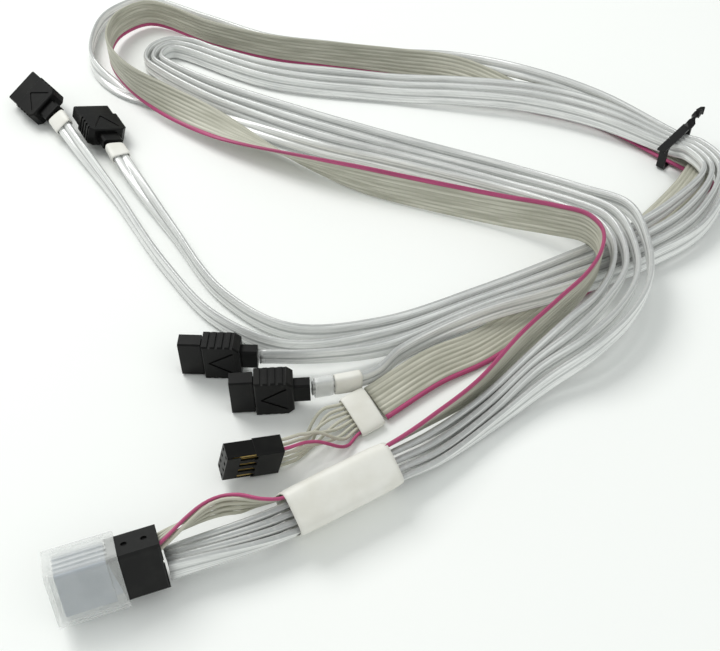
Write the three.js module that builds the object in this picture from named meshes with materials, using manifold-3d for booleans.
// Internal fan-out cable: one capped high-density plug, four flat twin-axial legs with
// seven-way plugs, and an eight-way sideband ribbon with a 2 x 4 crimp housing.
// Millimetres, +Z up. The cable lies loosely coiled on a table, which is the plane z = 0.

import * as THREE from 'three';
import { mergeVertices } from 'three/addons/utils/BufferGeometryUtils.js';
import Module from 'manifold-3d';

const wasm = await Module();
wasm.setup();

// General clearances
const GAP = 0.3;                  // between pieces that touch on the real product
const EPS = 0.05;                 // how far a cutting tool runs past a face

// Flat twin-axial leg
const LEG = { width: 5.0, thickness: 1.6, waist: 1.0, pitch: 1.9 };

// Sideband ribbon
const RIBBON = { wires: 8, pitch: 1.27, thickness: 1.1 };
const RIBBON_WIDTH = RIBBON.wires * RIBBON.pitch;

// Seven-way plug at the end of each leg
const PLUG = {
  bodyWidth: 12.4, bodyThickness: 5.9, bodyLength: 9.8,
  noseWidth: 11.9, noseThickness: 4.0, noseLength: 6.2,
  tailWidth: 6.4, tailThickness: 3.4, tailLength: 4.2,
  cornerChamfer: 1.5, edgeBevel: 0.35,
  ribPitch: 1.9, ribGroove: 0.8, ribDepth: 0.45, ribCount: 4,
  arrowGroove: 0.55, arrowDepth: 0.35, arrowHalfHeight: 3.9, arrowLength: 6.4,
  slotWidth: 10.2, slotHeight: 1.3, slotKey: 2.3, slotKeyWidth: 1.1, slotDepth: 5.2,
  contactPitch: 1.27, contactWidth: 0.5, contactCount: 7, contactRise: 0.25,
  spigotDepth: 2.4, spigotInset: 1.1,
};

// Heat-shrink sleeves. Those on a leg are placed by how far they begin from its plug.
const SLEEVE_WALL = 0.35;
const SLEEVE_CLEARANCE = 0.4;
const LEG_SLEEVES = [
  { name: 'leg_1_sleeve', leg: 'plug_1', start: 0.6, length: 6.0 },
  { name: 'leg_2_sleeve', leg: 'plug_2', start: 0.6, length: 6.0 },
  { name: 'leg_4_clear_sleeve', leg: 'plug_4', start: 0.6, length: 4.8, clear: true },
  { name: 'leg_4_sleeve', leg: 'plug_4', start: 5.8, length: 7.0 },
];
const RIBBON_SLEEVE = { at: [3.4, -81.6, 3.05], heading: 214.6, lean: -20, length: 7.0, thickness: 1.9 };

// Loose wires. Both bunches have one wire per ribbon wire.
const WIRE = { diameter: 0.8, sides: 8, points: 16, steps: 15 };
const HOST_WIRES = { pitch: 1.3, entry: [3.3, 0] };

// 2 x 4 crimp housing
const HOUSING = {
  length: 14.0, pitch: 2.54, columns: 4, rows: 2, chamfer: 0.35,
  frontStep: 0.2, frontLength: 7.0, frontHole: 0.9, frontLip: 1.2, cavity: 1.94,
  windowWidth: 1.3, windowLength: 4.2, windowStart: 3.4,
};
const CONTACT = { side: 1.3, length: 8.6, bore: 0.75, boreDepth: 5.5, start: 1.6 };

// Capped plug
const HOST = {
  width: 12.0, thickness: 8.9, length: 11.4, chamfer: 0.6, wall: 1.0,
  frontSweep: 1.6, pinDiameter: 1.5, pinDepth: 0.5, pinInset: 3.0,
  noseWidth: 11.2, noseThickness: 8.0, noseLength: 11.5, noseWall: 0.8, noseSpigot: 3.0,
  cardWidth: 8.6, cardThickness: 1.0, cardLength: 13.0, cardPitch: 3.4, cardRecess: 1.4,
};
const CAP = {
  wall: 0.8, clearance: 0.35, overlap: 2.2, front: 0.9,
  ridgeCount: 5, ridgeWidth: 0.7, ridgeHeight: 0.35, ridgeMargin: 2.0,
};

// Where the rigid pieces lie on the table: x, y, z of the reference point, then
// heading, climb and roll in degrees. The reference point of a plug is the middle
// of its tail's rear face, where its leg ends, and heading is the way it mates.
const PLUG_PLACES = [
  { name: 'plug_1', at: [-100.02, 36.73, 5.36], heading: 131, climb: 0, roll: -28 },
  { name: 'plug_2', at: [-78.79, 22.14, 4.7], heading: 120.5, climb: 0, roll: 19 },
  { name: 'plug_3', at: [-26.61, -67.79, 6.2], heading: 178, climb: 0, roll: 90 },
  { name: 'plug_4', at: [-12.63, -78.62, 6.2], heading: 184, climb: 0, roll: 90 },
];
const HOST_PLACE = { at: [-43.6, -127.4, 8.4], heading: 200, climb: 0, roll: 113 };
const HOUSING_PLACE = { at: [-32.6, -102.4, 8.2], heading: 199, climb: 12, roll: 84 };
const MAIN_SLEEVE_PLACE = { from: [-16.5, -116.7, 7.6], to: [7.4, -102.3, 7.6], lean: 122 };
const MAIN_SLEEVE = { width: 11.2, thickness: 10.6, corner: 1.3 };
const TIE = {
  at: [99.9, 20.9, 0], heading: -41, inner: [13.6, 8.0], wall: 0.7, strip: 2.6,
  tail: [[0.2, 5.6, 8.9, 0], [0.6, 8.2, 10.2, 40], [0.2, 9.8, 11.2, 150], [0.8, 11.4, 11.6, 260],
    [0.3, 13, 11.4, 360], [0.8, 14.6, 11.0, 440]],
};

// Where the ribbon is creased and doubles back on itself: the way its crease points,
// and how much longer than the ribbon's width the crease is.
const CREASE = { heading: -80.5, stretch: 1.57 };

// The origin of the part is under the body of the fourth plug.
const ORIGIN = { x: -21.86, y: -79.27 };

// Routes, chosen by hand along the photographed cable. Each row is x, y, z and the lean:
// the angle of the flat cable's width, from level on its left-hand side up to upright.
// A fifth value of 1 marks a row on the ribbon's crease.
const RIBBON_ROUTE = [
  [-3.1, -104.5, 9.8, 122], [5.6, -99.3, 9.8, 122], [17, -90, 8.2, 112], [30, -78, 5.9, 95],
  [42, -65, 7.5, 84], [53, -55, 10.5, 85], [61, -47, 12.4, 90], [66, -38, 12.8, 90],
  [67, -31, 12.8, 90], [64, -25, 12.4, 95], [56, -19, 10.0, 103], [42, -11, 6.4, 110],
  [6, 2, 5.5, 100], [-12, 10, 5.4, 72], [-32, 22, 4.6, 30], [-50, 33, 6.0, -25],
  [-66, 43, 7.8, -62], [-77, 52, 8.8, -85], [-85, 64, 8.8, -90], [-88, 76, 8.0, -90],
  [-86, 89, 6.8, -90], [-77, 97, 6.0, -90], [-53, 84, 5.7, -90], [-31, 75, 5.7, -92],
  [-10, 70.5, 5.7, -95], [12, 66, 5.7, -103], [33, 62, 4.9, -132], [57, 51, 1.4, -176],
  [80, 41, 1.3, -180], [100.6, 21.4, 1.5, -180], [104.6, 17.9, 1.4, -180, 1],
  [108.2, 13.6, 2.5, -90, 1], [107.0, 10.2, 3.6, 0, 1], [101.5, 2.5, 3.0, 0],
  [83, -17, 0.9, 0], [59, -38, 0.9, 0], [46, -49.5, 1.0, -2],
  [32, -61, 1.8, -14], [19, -69.5, 3.6, -32], [4, -81, 3.05, -20],
];
const LEG_ROUTES = {
  plug_4: [
    [-43.6, -125.4, 4.8, 68], [-17.4, -115.1, 8.7, 122], [6.5, -100.7, 8.7, 122],
    [17, -93, 6.4, 112], [31, -81, 4.4, 88], [44, -69, 6.5, 72], [55, -59, 9.4, 75],
    [64, -50, 10.2, 85], [70, -38, 10.2, 90], [71, -29, 10.2, 90], [68, -21, 10.0, 98],
    [60, -13, 7.8, 108], [44, -1, 4.4, 115], [7, 15, 3.0, 120],
    [-13, 22, 3.0, 124], [-33, 32, 2.4, 140], [-49, 41, 1.2, 175], [-67, 48, 1.2, 178],
    [-82, 56, 1.2, 172], [-93, 68.5, 2.9, 100], [-96, 84, 2.9, 90], [-93, 100, 2.9, 85],
    [-81, 109, 2.9, 75], [-57, 97, 2.9, 65], [-33, 84, 2.9, 62], [-10, 79, 2.9, 60],
    [12, 74.5, 2.9, 60], [33, 71, 3.8, 60], [57, 57.4, 7.1, 60], [80, 46, 5.3, 62],
    [102.6, 23.6, 5.3, 86], [107.4, 17.6, 7.4, 88], [112.2, 5.5, 7.6, 92], [102, -16, 5.2, 100],
    [82, -31, 4.9, 112], [57, -43, 5.0, 120], [33, -52.8, 5.6, 118],
    [11, -64.5, 3.9, 104], [3.4, -73.6, 5.4, 92], [-12.2, -78.5, 6.2, 90],
  ],
  plug_3: [
    [-43.1, -127.1, 5.5, 68], [-16.5, -116.7, 7.6, 122], [7.4, -102.3, 7.6, 122],
    [18, -95, 5.4, 112], [32, -83, 4.0, 88], [45, -71, 6.1, 72], [57, -62, 9.2, 75],
    [66, -52, 10.1, 85], [73, -40, 10.1, 90], [74, -29, 10.1, 90], [71, -19, 9.9, 98],
    [62, -10, 7.7, 108], [44, 2, 4.3, 115], [27, 11, 3.1, 118], [7, 19, 3.0, 120],
    [-13, 27, 3.0, 120], [-34, 38, 3.0, 118], [-52, 49, 2.9, 112], [-70, 64, 2.9, 100],
    [-75, 70.5, 2.9, 92], [-74, 78, 2.9, 90], [-68, 82.5, 2.9, 85], [-60.5, 81.5, 2.9, 78],
    [-52, 76.5, 2.9, 70], [-31, 67, 2.9, 60], [-10, 63, 2.9, 60], [12, 59, 3.0, 60],
    [33, 55.5, 4.4, 60], [57, 50.5, 5.3, 60], [79, 41.5, 5.3, 62], [101.3, 22.1, 5.3, 86],
    [105.6, 16.5, 7.4, 88], [109.9, 5.5, 7.6, 92], [99.5, -13.5, 5.6, 100], [80, -28, 4.9, 112],
    [57, -39.5, 5.0, 120], [33, -49.5, 4.0, 118], [7, -62.5, 3.6, 106],
    [-10.5, -67.2, 5.6, 92], [-26.2, -67.9, 6.2, 90],
  ],
  plug_1: [
    [-42.5, -128.8, 6.3, 68], [-15.6, -118.3, 6.6, 122], [8.3, -103.9, 6.6, 122],
    [19, -97, 4.6, 112], [33, -85, 3.6, 88], [46, -73, 5.7, 72], [59, -65, 9.0, 75],
    [69, -55, 10.0, 85], [76, -42, 10.2, 90], [77, -29, 10.2, 90], [74, -17, 9.9, 98],
    [64, -7, 7.6, 108], [45, 6, 4.1, 115], [7, 23, 3.0, 120], [-34, 42.5, 3.0, 118],
    [-53, 53.5, 2.9, 112], [-68.5, 66, 2.9, 100], [-72.4, 71, 2.9, 92], [-71.6, 76.5, 2.9, 90],
    [-67.3, 79.9, 2.9, 85], [-61.8, 78.7, 2.9, 78], [-31, 63, 2.9, 60], [12, 55, 3.0, 60],
    [33, 51.5, 4.4, 60], [57, 46.5, 5.3, 60], [79, 37.5, 5.3, 62], [99.9, 20.6, 5.3, 86],
    [103.8, 15.4, 7.4, 88], [107.6, 5.5, 7.6, 92], [97, -11, 5.9, 100], [78, -25, 4.9, 112],
    [57, -36, 5.0, 120], [33, -46, 3.2, 118], [6, -58, 3.0, 116], [-19, -62, 2.9, 108], [-39, -52, 2.9, 100],
    [-56, -31, 2.9, 98], [-74.5, -1, 2.9, 104], [-91.2, 24.0, 3.6, 140], [-99.6, 36.3, 5.36, 152],
  ],
  plug_2: [
    [-41.9, -130.4, 7.0, 68], [-14.7, -119.9, 5.6, 122], [9.2, -105.5, 5.6, 122],
    [19.5, -99, 4.0, 112], [34, -87, 3.2, 88], [48, -76, 5.3, 72], [61, -68, 8.8, 75],
    [72, -57, 10.1, 85], [79, -44, 10.4, 90], [81, -29, 10.4, 90], [78.2, -14, 10.0, 98],
    [66, -4, 7.5, 108], [46, 10, 4.0, 115], [7, 28, 3.0, 120], [-34, 47.5, 3.0, 118],
    [-53, 58, 2.9, 112], [-67.4, 68.6, 2.9, 100], [-69.7, 71.8, 2.9, 92], [-69.2, 75.1, 2.9, 90],
    [-66.6, 77.1, 2.9, 85], [-62.9, 76.2, 2.9, 78], [-31, 59, 2.9, 60], [12, 51, 3.0, 60],
    [33, 47.5, 4.4, 60], [56, 42.5, 5.3, 60], [78, 33.5, 5.3, 62], [98.6, 19.1, 5.3, 86],
    [102, 14.3, 7.4, 88], [105.2, 5.5, 7.6, 92], [94, -7.4, 6.0, 100], [76, -20.9, 4.9, 112],
    [57, -32, 5.0, 120], [33, -42.5, 3.0, 118], [6, -54, 3.0, 118], [-19, -56, 2.9, 112], [-38, -43, 2.9, 104],
    [-55, -17, 2.9, 100], [-70.6, 8.1, 3.4, 165], [-78.6, 21.8, 4.7, 199],
  ],
};
const STEPS_PER_SPAN = 2;

// Materials
const finish = (color, roughness, metalness = 0) =>
  new THREE.MeshStandardMaterial({ color, roughness, metalness });
const blackPlastic = finish(0x23231f, 0.45);
const legJacket = finish(0xdfe1dc, 0.35, 0.2);
const ribbonJacket = finish(0xb7b5a0, 0.5);
const wireJacket = finish(0xb0ad9a, 0.5);
const pinkJacket = finish(0xb04070, 0.5);
const whiteSleeve = finish(0xf2f1ea, 0.5);
const clearSleeve = finish(0xe4e6e2, 0.25);
const capPlastic = finish(0xe9ebe6, 0.3);
const noseMetal = finish(0x9aa3ad, 0.4, 0.6);
const cardLaminate = finish(0x2f5a3c, 0.5);
const tieJacket = finish(0x1d1d1b, 0.5);
const brass = finish(0xb98a3e, 0.35, 0.9);

// Solid modelling helpers

function toSolid(geometry) {
  const plain = geometry.clone();
  plain.deleteAttribute('normal');
  plain.deleteAttribute('uv');
  const merged = mergeVertices(plain, 1e-4);
  const mesh = new wasm.Mesh({
    numProp: 3,
    vertProperties: new Float32Array(merged.attributes.position.array),
    triVerts: new Uint32Array(merged.index.array),
  });
  mesh.merge();
  return new wasm.Manifold(mesh);
}

function toGeometry(solid) {
  const mesh = solid.getMesh();
  const geometry = new THREE.BufferGeometry();
  geometry.setAttribute('position', new THREE.BufferAttribute(mesh.vertProperties, 3));
  geometry.setIndex(new THREE.BufferAttribute(mesh.triVerts, 1));
  geometry.computeVertexNormals();
  return geometry;
}

function cutAll(geometry, cutters) {
  return toGeometry(cutters.reduce((solid, cutter) => solid.subtract(toSolid(cutter)), toSolid(geometry)));
}

function joinAll(geometries) {
  return toGeometry(geometries.map(toSolid).reduce((sum, solid) => sum.add(solid)));
}

function box(length, width, height, x, y, z) {
  return new THREE.BoxGeometry(length, width, height).translate(x, y, z);
}

function node(name, geometry, material) {
  const mesh = new THREE.Mesh(geometry, material);
  mesh.name = name;
  return mesh;
}

// Rectangle with cut corners, in the plane of a section
function chamferedRectangle(width, height, chamfer) {
  const w = width / 2;
  const h = height / 2;
  return new THREE.Shape([
    [-w + chamfer, -h], [w - chamfer, -h], [w, -h + chamfer], [w, h - chamfer],
    [w - chamfer, h], [-w + chamfer, h], [-w, h - chamfer], [-w, -h + chamfer],
  ].map(([x, y]) => new THREE.Vector2(x, y)));
}

// Extrudes a section drawn in Y (across) and Z (up) along +X, starting at x
function alongX(shape, length, x = 0) {
  return new THREE.ExtrudeGeometry(shape, { depth: length, bevelEnabled: false, steps: 1 })
    .rotateX(Math.PI / 2).rotateZ(Math.PI / 2).translate(x, 0, 0);
}

// Extrudes a plan drawn in X and Y upwards, with its middle at z = 0
function slab(shape, thickness, bevel = 0) {
  return new THREE.ExtrudeGeometry(shape, {
    depth: thickness - 2 * bevel, bevelEnabled: bevel > 0, bevelThickness: bevel,
    bevelSize: bevel, bevelOffset: -bevel, bevelSegments: 1, curveSegments: 6,
  }).translate(0, 0, bevel - thickness / 2);
}

// Puts a group at a point, with its own +X along the heading, then climb and roll
function place(group, { at, heading, climb = 0, roll = 0 }) {
  const rad = THREE.MathUtils.degToRad;
  group.rotation.set(rad(roll), -rad(climb), rad(heading), 'ZYX');
  group.position.set(...at);
  return group;
}

// Flat cables

const creaseAngle = THREE.MathUtils.degToRad(CREASE.heading);
const CREASE_LINE = new THREE.Vector3(Math.cos(creaseAngle), Math.sin(creaseAngle), 0)
  .multiplyScalar(CREASE.stretch);

// A route whose frames follow the listed lean instead of the curve's own twist. It may
// run over a part of the rows only, counted in rows from the first.
class FlatRoute extends THREE.Curve {
  constructor(rows, from = 0, to = rows.length - 1) {
    super();
    this.rows = rows;
    this.from = from;
    this.to = to;
    this.path = new THREE.CatmullRomCurve3(rows.map(([x, y, z]) => new THREE.Vector3(x, y, z)));
  }

  rowAt(t) {
    return THREE.MathUtils.lerp(this.from, this.to, t);
  }

  getPoint(t, target = new THREE.Vector3()) {
    return this.path.getPoint(this.rowAt(t) / (this.rows.length - 1), target);
  }

  getSpacedPoints(count) {
    return Array.from({ length: count + 1 }, (_, i) => this.getPoint(i / count));
  }

  columnAt(column, t) {
    const at = this.rowAt(t);
    const first = Math.min(Math.floor(at), this.rows.length - 2);
    return THREE.MathUtils.lerp(this.rows[first][column] ?? 0, this.rows[first + 1][column] ?? 0, at - first);
  }

  computeFrenetFrames(segments) {
    const frames = { tangents: [], normals: [], binormals: [] };
    for (let i = 0; i <= segments; i++) {
      const t = i / segments;
      const tangent = this.path.getTangent(this.rowAt(t) / (this.rows.length - 1));
      const left = new THREE.Vector3(-tangent.y, tangent.x, 0).normalize();
      const up = new THREE.Vector3().crossVectors(tangent, left);
      const lean = THREE.MathUtils.degToRad(this.columnAt(3, t));
      const across = left.clone().multiplyScalar(Math.cos(lean)).addScaledVector(up, Math.sin(lean));
      across.lerp(CREASE_LINE, this.columnAt(4, t));
      frames.tangents.push(tangent);
      frames.normals.push(across);
      frames.binormals.push(new THREE.Vector3().crossVectors(tangent, across).normalize());
    }
    return frames;
  }
}

function sweep(shape, rows, from, to) {
  const route = new FlatRoute(rows, from, to);
  return new THREE.ExtrudeGeometry(shape, {
    steps: Math.ceil((route.to - route.from) * STEPS_PER_SPAN), bevelEnabled: false, extrudePath: route,
  });
}

// Two lobes with a waist between them
function legSection(grow = 0) {
  const w = LEG.width / 2 + grow;
  const h = LEG.thickness / 2 + grow;
  const lobe = LEG.width / 4;
  const waist = LEG.waist / 2 + grow;
  return new THREE.Shape([
    [-w, -h / 2], [-lobe, -h], [0, -waist], [lobe, -h], [w, -h / 2],
    [w, h / 2], [lobe, h], [0, waist], [-lobe, h], [-w, h / 2],
  ].map(([x, y]) => new THREE.Vector2(x, y)));
}

function ribbonSection() {
  return chamferedRectangle(RIBBON_WIDTH, RIBBON.thickness, RIBBON.thickness / 3);
}

function circleSection(diameter, sides) {
  const corners = Array.from({ length: sides }, (_, i) => {
    const angle = (2 * Math.PI * (i + 0.5)) / sides;
    return new THREE.Vector2(Math.cos(angle), Math.sin(angle)).multiplyScalar(diameter / 2);
  });
  return new THREE.Shape(corners);
}

// Seven-way plug: +X is the mating direction, Y is across, x = 0 is the body's front face

function plugBody() {
  const { bodyWidth, bodyThickness, bodyLength, cornerChamfer, edgeBevel } = PLUG;
  const half = bodyWidth / 2;
  const tail = PLUG.tailWidth / 2;
  const plan = new THREE.Shape([
    [0, -half], [0, half], [-bodyLength + cornerChamfer, half], [-bodyLength, half - cornerChamfer],
    [-bodyLength, -half + cornerChamfer], [-bodyLength + cornerChamfer, -half],
  ].reverse().map(([x, y]) => new THREE.Vector2(x, y)));
  const relief = alongX(
    chamferedRectangle(2 * tail, PLUG.tailThickness, 0.5), PLUG.tailLength + 1, -bodyLength - PLUG.tailLength);
  const cutters = [];
  for (const side of [-1, 1]) {
    for (let i = 0; i < PLUG.ribCount; i++) {
      const x = -bodyLength + cornerChamfer + 0.7 + i * PLUG.ribPitch;
      cutters.push(box(PLUG.ribGroove, 2 * PLUG.ribDepth, bodyThickness + 2 * EPS, x, side * half, 0));
    }
    cutters.push(...arrowGrooves(side));
  }
  const pocket = alongX(chamferedRectangle(
    PLUG.noseWidth - 2 * PLUG.spigotInset + 2 * GAP, PLUG.noseThickness - PLUG.spigotInset + 2 * GAP, 0.3),
  PLUG.spigotDepth + EPS, -PLUG.spigotDepth);
  cutters.push(pocket);
  return cutAll(joinAll([slab(plan, bodyThickness, edgeBevel), relief]), cutters);
}

// A V that points at the mating face, cut in one broad side of the body
function arrowGrooves(side) {
  const reach = Math.hypot(PLUG.arrowLength, PLUG.arrowHalfHeight);
  const slope = Math.atan2(PLUG.arrowHalfHeight, PLUG.arrowLength);
  return [-1, 1].map((leg) => box(reach, PLUG.arrowGroove, 2 * PLUG.arrowDepth, -reach / 2, 0, 0)
    .rotateZ(-leg * slope).translate(-1.6, 0, (side * PLUG.bodyThickness) / 2));
}

function plugNose() {
  const { noseWidth, noseThickness, noseLength, slotWidth, slotHeight } = PLUG;
  const shell = alongX(chamferedRectangle(noseWidth, noseThickness, 0.35), noseLength - GAP, GAP);
  const spigot = alongX(chamferedRectangle(
    noseWidth - 2 * PLUG.spigotInset, noseThickness - PLUG.spigotInset, 0.3),
  PLUG.spigotDepth + GAP, -PLUG.spigotDepth + GAP);
  const slotFloor = noseLength - PLUG.slotDepth;
  const slot = box(PLUG.slotDepth + EPS, slotWidth, slotHeight, slotFloor + (PLUG.slotDepth + EPS) / 2, 0, 0);
  const key = box(PLUG.slotDepth + EPS, PLUG.slotKeyWidth, PLUG.slotKey,
    slotFloor + (PLUG.slotDepth + EPS) / 2, (slotWidth - PLUG.slotKeyWidth) / 2, (slotHeight - PLUG.slotKey) / 2);
  const contacts = Array.from({ length: PLUG.contactCount }, (_, i) => {
    const y = (i - (PLUG.contactCount - 1) / 2) * PLUG.contactPitch - PLUG.slotKeyWidth / 2;
    return box(PLUG.slotDepth - 1, PLUG.contactWidth, 2 * PLUG.contactRise,
      slotFloor + PLUG.slotDepth / 2 - 0.4, y, slotHeight / 2);
  });
  const hollow = toSolid(joinAll([shell, spigot])).subtract(toSolid(slot)).subtract(toSolid(key));
  return toGeometry(contacts.reduce((solid, contact) => solid.add(toSolid(contact)), hollow));
}

function sevenWayPlug(spot) {
  const group = place(new THREE.Group(), spot);
  const reach = PLUG.tailLength + PLUG.bodyLength;
  group.add(node(`${spot.name}_body`, plugBody().translate(reach, 0, 0), blackPlastic));
  group.add(node(`${spot.name}_nose`, plugNose().translate(reach, 0, 0), blackPlastic));
  return group;
}

// 2 x 4 crimp housing: +X is the mating direction, x = 0 is the mating face

function cavityCentres() {
  const centres = [];
  for (let row = 0; row < HOUSING.rows; row++) {
    for (let column = 0; column < HOUSING.columns; column++) {
      centres.push([(column - (HOUSING.columns - 1) / 2) * HOUSING.pitch,
        (row - (HOUSING.rows - 1) / 2) * HOUSING.pitch]);
    }
  }
  return centres;
}

function crimpHousing() {
  const width = HOUSING.columns * HOUSING.pitch;
  const height = HOUSING.rows * HOUSING.pitch;
  const rear = alongX(chamferedRectangle(width, height, HOUSING.chamfer),
    HOUSING.length - HOUSING.frontLength, -HOUSING.length);
  const front = alongX(chamferedRectangle(width - 2 * HOUSING.frontStep, height - 2 * HOUSING.frontStep,
    HOUSING.chamfer), HOUSING.frontLength + EPS, -HOUSING.frontLength - EPS);
  const cutters = [];
  for (const [y, z] of cavityCentres()) {
    cutters.push(box(HOUSING.frontLip + 2 * EPS, HOUSING.frontHole, HOUSING.frontHole, -HOUSING.frontLip / 2, y, z));
    const depth = HOUSING.length - HOUSING.frontLip;
    cutters.push(box(depth + EPS, HOUSING.cavity, HOUSING.cavity, -HOUSING.frontLip - (depth + EPS) / 2, y, z));
    cutters.push(box(HOUSING.windowLength, HOUSING.windowWidth, HOUSING.pitch,
      -HOUSING.windowStart - HOUSING.windowLength / 2, y, z * 2.2));
  }
  return cutAll(joinAll([rear, front]), cutters);
}

function crimpContact(y, z) {
  const shell = box(CONTACT.length, CONTACT.side, CONTACT.side, -CONTACT.start - CONTACT.length / 2, y, z);
  const bore = box(CONTACT.boreDepth + EPS, CONTACT.bore, CONTACT.bore,
    -CONTACT.start - (CONTACT.boreDepth - EPS) / 2, y, z);
  return cutAll(shell, [bore]);
}

function sidebandConnector() {
  const group = place(new THREE.Group(), HOUSING_PLACE);
  group.add(node('sideband_housing', crimpHousing(), blackPlastic));
  cavityCentres().forEach(([y, z], i) => group.add(node(`sideband_contact_${i + 1}`, crimpContact(y, z), brass)));
  return group;
}

// Capped plug: +X is the mating direction, Y is up the broad side, x = 0 is the rear face

function hostHousing() {
  const { width, thickness, length, frontSweep, wall } = HOST;
  const half = width / 2;
  const plan = new THREE.Shape();
  plan.moveTo(0, -half);
  plan.lineTo(length - frontSweep, -half);
  plan.bezierCurveTo(length - frontSweep, -half / 3, length, half / 3, length, half);
  plan.lineTo(0, half);
  const cutters = [box(length, width - 2 * wall - 1, thickness - 2 * wall, length / 2 + wall + 1, 0, 0)];
  cutters.push(box(2 * wall + 3, LEG.width + 1.4, 4 * LEG.pitch + 0.6, 0, -1.6, 0));
  for (const x of [HOST.pinInset, length - HOST.pinInset - 1]) {
    cutters.push(new THREE.CylinderGeometry(HOST.pinDiameter / 2, HOST.pinDiameter / 2, 2 * HOST.pinDepth, 12)
      .translate(x, half, 0));
  }
  cutters.push(box(2 * wall + 3, 3.0, 7.4, 0, half - wall - 1.6, 0));
  return cutAll(slab(plan, thickness, HOST.chamfer), cutters);
}

function hostNose() {
  const start = HOST.length - HOST.noseSpigot;
  const reach = HOST.noseSpigot + HOST.noseLength;
  const innerWidth = HOST.width - 2 * HOST.wall - 1 - 2 * GAP;
  const innerHeight = HOST.thickness - 2 * HOST.wall - 2 * GAP;
  const spigot = box(HOST.noseSpigot + 1, innerWidth, innerHeight, start + (HOST.noseSpigot + 1) / 2, 0, 0);
  const shell = alongX(chamferedRectangle(HOST.noseWidth, HOST.noseThickness, 0.5),
    HOST.noseLength - GAP, HOST.length + GAP);
  const cutters = [box(reach + 2, HOST.cardWidth + 2 * GAP, HOST.cardPitch + HOST.cardThickness + 2 * GAP,
    start + reach / 2, 0, 0)];
  return cutAll(joinAll([spigot, shell]), cutters);
}

function paddleCard(side) {
  const start = HOST.length + HOST.noseLength - HOST.cardRecess - HOST.cardLength;
  return box(HOST.cardLength, HOST.cardWidth, HOST.cardThickness,
    start + HOST.cardLength / 2, 0, (side * HOST.cardPitch) / 2);
}

function dustCap() {
  const innerWidth = HOST.width + 2 * CAP.clearance;
  const innerHeight = HOST.thickness + 2 * CAP.clearance;
  const start = HOST.length - CAP.overlap;
  const depth = CAP.overlap + HOST.noseLength + 1;
  const outer = alongX(chamferedRectangle(innerWidth + 2 * CAP.wall, innerHeight + 2 * CAP.wall, 1.0),
    depth + CAP.front, start);
  const ridges = [];
  const ridgeLength = depth + CAP.front - 2 * CAP.ridgeMargin;
  for (const side of [-1, 1]) {
    for (let i = 0; i < CAP.ridgeCount; i++) {
      const z = ((i + 0.5) / CAP.ridgeCount - 0.5) * (innerHeight - 1);
      ridges.push(box(ridgeLength, 2 * CAP.ridgeHeight, CAP.ridgeWidth,
        start + CAP.ridgeMargin + ridgeLength / 2, side * (innerWidth / 2 + CAP.wall), z));
    }
  }
  const hollow = alongX(chamferedRectangle(innerWidth, innerHeight, 0.5), depth + EPS, start - EPS);
  return cutAll(joinAll([outer, ...ridges]), [hollow]);
}

function hostPlug() {
  const group = place(new THREE.Group(), HOST_PLACE);
  group.add(node('host_housing', hostHousing(), blackPlastic));
  group.add(node('host_nose', hostNose(), noseMetal));
  group.add(node('host_card_upper', paddleCard(1), cardLaminate));
  group.add(node('host_card_lower', paddleCard(-1), cardLaminate));
  group.add(node('dust_cap', dustCap(), capPlastic));
  return group;
}

// Sleeves

function tube(outer, inner, length) {
  return cutAll(alongX(outer, length), [alongX(inner, length + 2 * EPS, -EPS)]);
}

function mainSleeve() {
  const { from, to, lean } = MAIN_SLEEVE_PLACE;
  const run = new THREE.Vector3(...to).sub(new THREE.Vector3(...from));
  const { width, thickness, corner } = MAIN_SLEEVE;
  const geometry = tube(chamferedRectangle(width + 2 * SLEEVE_WALL, thickness + 2 * SLEEVE_WALL, corner),
    chamferedRectangle(width, thickness, corner - SLEEVE_WALL), run.length() - 2 * GAP);
  const heading = THREE.MathUtils.radToDeg(Math.atan2(run.y, run.x));
  return place(new THREE.Group().add(node('main_label_sleeve', geometry, whiteSleeve)),
    { at: from, heading, roll: lean });
}

function ribbonSleeve() {
  const { at, heading, lean, length, thickness } = RIBBON_SLEEVE;
  const width = RIBBON_WIDTH + 2 * GAP;
  const geometry = tube(chamferedRectangle(width + 2 * SLEEVE_WALL, thickness + 2 * SLEEVE_WALL, 0.5),
    chamferedRectangle(width, thickness, 0.3), length);
  return place(new THREE.Group().add(node('ribbon_label_sleeve', geometry, whiteSleeve)),
    { at, heading, roll: lean });
}

function legSleeve({ name, leg, start, length, clear }) {
  const rows = LEG_ROUTES[leg];
  const [last, before] = [rows.at(-1), rows.at(-2)].map(([x, y, z]) => new THREE.Vector3(x, y, z));
  const rowLength = last.distanceTo(before);
  const to = rows.length - 1 - start / rowLength;
  const from = to - length / rowLength;
  const margin = EPS / rowLength;
  const outer = sweep(legSection(SLEEVE_CLEARANCE + SLEEVE_WALL), rows, from, to);
  const inner = sweep(legSection(SLEEVE_CLEARANCE), rows, from - margin, to + margin);
  return node(name, cutAll(outer, [inner]), clear ? clearSleeve : whiteSleeve);
}

// Loose wires, from a flat row of eight to a block of two by four

function axesOf({ at, heading, climb = 0, roll = 0 }) {
  const group = place(new THREE.Group(), { at, heading, climb, roll });
  const [along, across, up] = [0, 1, 2].map((i) => new THREE.Vector3().setComponent(i, 1).applyEuler(group.rotation));
  return { origin: group.position, along, across, up };
}

function wire(name, points, material) {
  const path = new THREE.CatmullRomCurve3(points);
  const geometry = new THREE.ExtrudeGeometry(circleSection(WIRE.diameter, WIRE.sides),
    { steps: WIRE.steps, bevelEnabled: false, extrudePath: path });
  return node(name, geometry, material);
}

function wireMaterial(i) {
  return i === RIBBON.wires - 1 ? pinkJacket : wireJacket;
}

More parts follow.
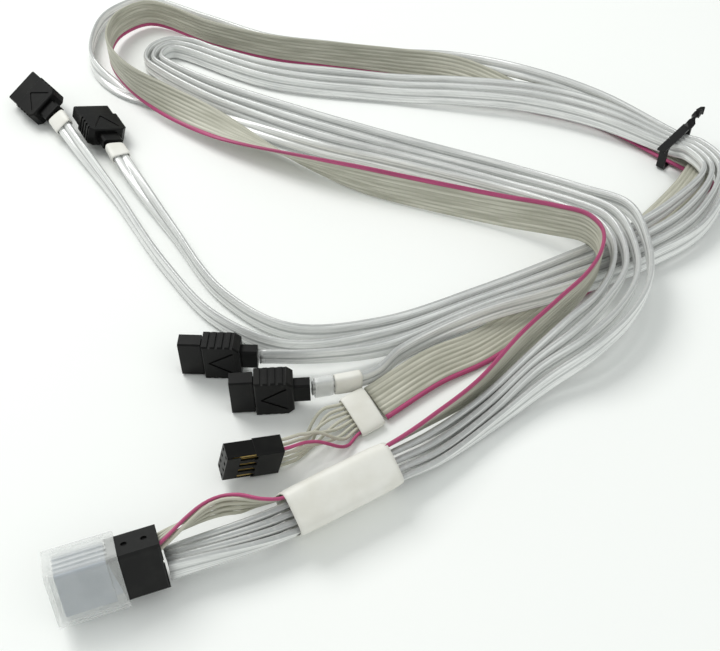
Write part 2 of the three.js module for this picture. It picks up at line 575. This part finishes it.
// From the ribbon's label sleeve to the rear of the crimp housing
function sidebandWires() {
  const from = axesOf({ ...RIBBON_SLEEVE, roll: RIBBON_SLEEVE.lean });
  const to = axesOf(HOUSING_PLACE);
  const leave = from.origin.clone().addScaledVector(from.along, RIBBON_SLEEVE.length - 1.5);
  const arrive = to.origin.clone().addScaledVector(to.along, -CONTACT.start - CONTACT.length - GAP);
  const bend = leave.distanceTo(arrive) / 2.6;
  const middle = new THREE.CubicBezierCurve3(leave, leave.clone().addScaledVector(from.along, bend),
    arrive.clone().addScaledVector(to.along, -bend), arrive);
  return Array.from({ length: RIBBON.wires }, (_, i) => {
    const flat = from.across.clone().multiplyScalar((i - (RIBBON.wires - 1) / 2) * RIBBON.pitch);
    const column = Math.floor(i / 2) - (HOUSING.columns - 1) / 2;
    const row = (HOUSING.rows - 1) / 2 - (i % 2);
    const block = to.across.clone().multiplyScalar(column * HOUSING.pitch)
      .addScaledVector(to.up, row * HOUSING.pitch);
    const points = Array.from({ length: WIRE.points }, (__, k) => {
      const t = k / (WIRE.points - 1);
      const early = THREE.MathUtils.clamp((t - 0.1) / 0.5, 0, 1);
      const swell = 1 + 2.2 * early * (1 - early);
      const offset = flat.clone().lerp(block, THREE.MathUtils.smoothstep(t, 0.1, 0.72)).multiplyScalar(swell);
      return middle.getPoint(t).add(offset);
    });
    return wire(`sideband_wire_${i + 1}`, points, wireMaterial(i));
  });
}

// From the ribbon's end in the main sleeve to the rear of the capped plug: the row of
// wires folds into two layers, then goes round the corner of the stack of legs
function hostWires() {
  const { pitch, entry } = HOST_WIRES;
  const sleeve = axesOf({ at: RIBBON_ROUTE[0].slice(0, 3), heading: 31, roll: RIBBON_ROUTE[0][3] });
  const host = axesOf(HOST_PLACE);
  const mouth = host.origin.clone().addScaledVector(host.along, HOST.wall + 0.5)
    .addScaledVector(host.across, entry[0]).addScaledVector(host.up, entry[1]);
  const first = sleeve.origin.clone().addScaledVector(sleeve.along, -GAP);
  const leave = first.clone().addScaledVector(sleeve.along, -17.5);
  const corner = leave.clone().lerp(mouth, 0.5).addScaledVector(host.up, 2.6).addScaledVector(host.across, 2.2);
  const middle = new THREE.CatmullRomCurve3([first, leave, corner, mouth,
    mouth.clone().addScaledVector(host.along, 0.5)]);
  return Array.from({ length: RIBBON.wires }, (_, i) => {
    const column = Math.floor(i / 2) - 1.5;
    const layer = (i % 2) - 0.5;
    const points = Array.from({ length: WIRE.points }, (__, k) => {
      const t = k / (WIRE.points - 1);
      const fold = THREE.MathUtils.smoothstep(t, 0.28, 0.5);
      const turn = THREE.MathUtils.smoothstep(t, 0.45, 0.74) * Math.PI / 2;
      const p = THREE.MathUtils.lerp((i - (RIBBON.wires - 1) / 2) * RIBBON.pitch, column * pitch, fold);
      const q = layer * pitch * fold;
      const away = sleeve.across.clone().lerp(host.across, fold).normalize();
      const over = sleeve.up.clone().negate().lerp(host.up, fold).normalize();
      return middle.getPoint(t)
        .addScaledVector(away, p * Math.cos(turn) + q * Math.sin(turn))
        .addScaledVector(over, -p * Math.sin(turn) + q * Math.cos(turn));
    });
    return wire(`host_wire_${i + 1}`, points, wireMaterial(i));
  });
}

// Twist tie round the bundle: a flat strip in a ring, then its two ends twisted together

function twistTie() {
  const { at, heading, inner, wall, strip } = TIE;
  const [width, height] = inner;
  const ring = tube(chamferedRectangle(width + 2 * wall, height + 2 * wall, 1.0),
    chamferedRectangle(width, height, 0.6), strip).translate(-strip / 2, 0, height / 2 + wall);
  const twist = TIE.tail.map(([x, y, z, lean]) => [x, y, z, lean]);
  const tail = new THREE.ExtrudeGeometry(chamferedRectangle(strip, wall, 0.2),
    { steps: 2 * (twist.length - 1), bevelEnabled: false, extrudePath: new FlatRoute(twist) });
  const stub = box(strip, 3.4, wall, 0, -width / 2 - wall - 0.7, height + 1.5 * wall);
  return place(new THREE.Group().add(node('twist_tie', joinAll([ring, tail, stub]), tieJacket)),
    { at, heading });
}

const parts = new THREE.Group();
parts.position.set(-ORIGIN.x, -ORIGIN.y, 0);
for (const spot of PLUG_PLACES) {
  parts.add(sevenWayPlug(spot));
  parts.add(node(`leg_to_${spot.name}`, sweep(legSection(), LEG_ROUTES[spot.name]), legJacket));
}
parts.add(sidebandConnector(), hostPlug(), mainSleeve(), ribbonSleeve(), twistTie());
parts.add(...LEG_SLEEVES.map(legSleeve), ...sidebandWires(), ...hostWires());
parts.add(node('sideband_ribbon', sweep(ribbonSection(), RIBBON_ROUTE), ribbonJacket));

export default new THREE.Group().add(parts);
